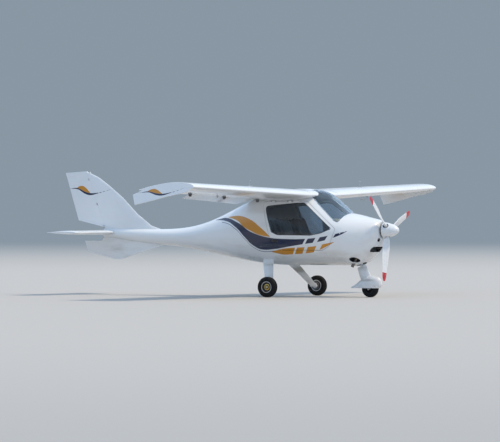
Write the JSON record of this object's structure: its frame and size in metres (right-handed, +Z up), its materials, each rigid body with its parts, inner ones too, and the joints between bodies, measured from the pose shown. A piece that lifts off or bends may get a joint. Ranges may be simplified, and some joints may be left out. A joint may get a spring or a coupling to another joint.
{
  "type": "light aircraft",
  "caption": "High-wing two-seat ultralight aircraft with a pod-and-boom shell, tractor propeller, wheels, gull doors and moving control surfaces.",
  "frame": {"origin": "on the ground, below the middle of the length and span", "axes": "+X forward through the spinner, +Y to the pilot's left along the wing, +Z up"},
  "size_m": [6.2, 8.5234, 2.04],
  "materials": {
    "white_shell": "gloss",
    "glass": "clear",
    "dark_metal": "satin",
    "bare_alloy": "brushed",
    "steel": "satin",
    "engine_block": "rough",
    "tyre_rubber": "matte",
    "blade_white": "gloss",
    "interior_grey": "matte",
    "panel_dark": "matte",
    "seat_fabric": "woven",
    "exhaust_steel": "heat stained"
  },
  "bodies": {
    "airframe": {"cabin_shell": "white_shell", "tail_boom": "white_shell", "wing_centre": "white_shell", "firewall": "bare_alloy", "windscreen": "glass", "door_hinges": "steel", "wing_port": "white_shell", "wing_starboard": "white_shell", "wing_tips": "white_shell", "fuel_caps": "dark_metal", "tie_down_eyes": "steel", "pitot_mast": "bare_alloy", "ventral_fin": "white_shell", "main_legs": "white_shell", "main_axles": "steel", "steering_head": "dark_metal", "cowl_upper": "white_shell", "cowl_lower": "white_shell", "engine": "engine_block", "exhaust": "exhaust_steel", "radiator": "bare_alloy", "cabin_floor": "interior_grey", "instrument_panel": "panel_dark", "seat_shells": "interior_grey", "seat_cushions": "seat_fabric", "centre_console": "interior_grey", "control_sticks": "dark_metal", "rudder_pedals": "dark_metal"},
    "port_door": {"door_port": "white_shell", "door_window_port": "glass"},
    "starboard_door": {"door_starboard": "white_shell", "door_window_starboard": "glass"},
    "port_flap": {"flap_port": "white_shell"},
    "starboard_flap": {"flap_starboard": "white_shell"},
    "port_aileron": {"aileron_port": "white_shell"},
    "starboard_aileron": {"aileron_starboard": "white_shell"},
    "rudder": {"rudder": "white_shell"},
    "tailplane": {"tailplane": "white_shell"},
    "trim_tab": {"trim_tab": "white_shell"},
    "nose_gear": {"nose_leg": "white_shell", "nose_spat": "white_shell"},
    "nose_wheel": {"nose_tyre": "tyre_rubber", "nose_rim": "bare_alloy"},
    "port_wheel": {"main_tyre_port": "tyre_rubber", "main_rim_port": "bare_alloy"},
    "starboard_wheel": {"main_tyre_starboard": "tyre_rubber", "main_rim_starboard": "bare_alloy"},
    "propeller": {"propeller_hub": "bare_alloy", "propeller_blades": "blade_white", "spinner": "white_shell"}
  },
  "joints": [
    {"name": "propeller_spin", "type": "hinge", "parent": "airframe", "child": "propeller", "pos_m": [2.904, 0, 1.078], "axis": [1, 0, 0], "continuous": true},
    {"name": "port_wheel_spin", "type": "hinge", "parent": "airframe", "child": "port_wheel", "pos_m": [1.17, 0.859, 0.165], "axis": [0, 1, 0], "continuous": true},
    {"name": "starboard_wheel_spin", "type": "hinge", "parent": "airframe", "child": "starboard_wheel", "pos_m": [1.17, -0.859, 0.165], "axis": [0, 1, 0], "continuous": true},
    {"name": "steering", "type": "hinge", "parent": "airframe", "child": "nose_gear", "pos_m": [2.584, 0, 0.14], "axis": [-0.3809, 0, 0.9246], "range_deg": [-25, 25]},
    {"name": "nose_wheel_spin", "type": "hinge", "parent": "nose_gear", "child": "nose_wheel", "pos_m": [2.584, 0, 0.14], "axis": [0, 1, 0], "continuous": true},
    {"name": "port_door_swing", "type": "hinge", "parent": "airframe", "child": "port_door", "pos_m": [1.25, 0.523, 1.542], "axis": [1, 0, 0], "range_deg": [0, 65]},
    {"name": "starboard_door_swing", "type": "hinge", "parent": "airframe", "child": "starboard_door", "pos_m": [1.25, -0.523, 1.542], "axis": [-1, 0, 0], "range_deg": [0, 65]},
    {"name": "port_flap_droop", "type": "hinge", "parent": "airframe", "child": "port_flap", "pos_m": [0.71391, 0.506, 1.61381], "axis": [-0.0541, -0.9979, -0.0355], "range_deg": [-27, 25]},
    {"name": "starboard_flap_droop", "type": "hinge", "parent": "airframe", "child": "starboard_flap", "pos_m": [0.71391, -0.506, 1.61381], "axis": [0.0541, -0.9979, 0.0355], "range_deg": [-27, 25]},
    {"name": "port_aileron_turn", "type": "hinge", "parent": "airframe", "child": "port_aileron", "pos_m": [0.82712, 2.593, 1.68796], "axis": [-0.0541, -0.9979, -0.0355], "range_deg": [-18, 18]},
    {"name": "starboard_aileron_turn", "type": "hinge", "parent": "airframe", "child": "starboard_aileron", "pos_m": [0.82712, -2.593, 1.68796], "axis": [0.0541, -0.9979, 0.0355], "range_deg": [-18, 18]},
    {"name": "rudder_turn", "type": "hinge", "parent": "airframe", "child": "rudder", "pos_m": [-2.324, 0, 1.108], "axis": [-0.3769, 0, 0.9262], "range_deg": [-25, 25]},
    {"name": "tailplane_pitch", "type": "hinge", "parent": "airframe", "child": "tailplane", "pos_m": [-2.292, 0, 1.03], "axis": [0, 1, 0], "range_deg": [-9, 13]},
    {"name": "trim_tab_turn", "type": "hinge", "parent": "tailplane", "child": "trim_tab", "pos_m": [-2.642, 0, 1.03], "axis": [0, 1, 0], "range_deg": [-6, 9]}
  ],
  "couplings": [
    {"joint": "starboard_flap_droop", "follows": "port_flap_droop", "ratio": 1},
    {"joint": "starboard_aileron_turn", "follows": "port_aileron_turn", "ratio": -1},
    {"joint": "trim_tab_turn", "follows": "tailplane_pitch", "ratio": 0.6}
  ]
}
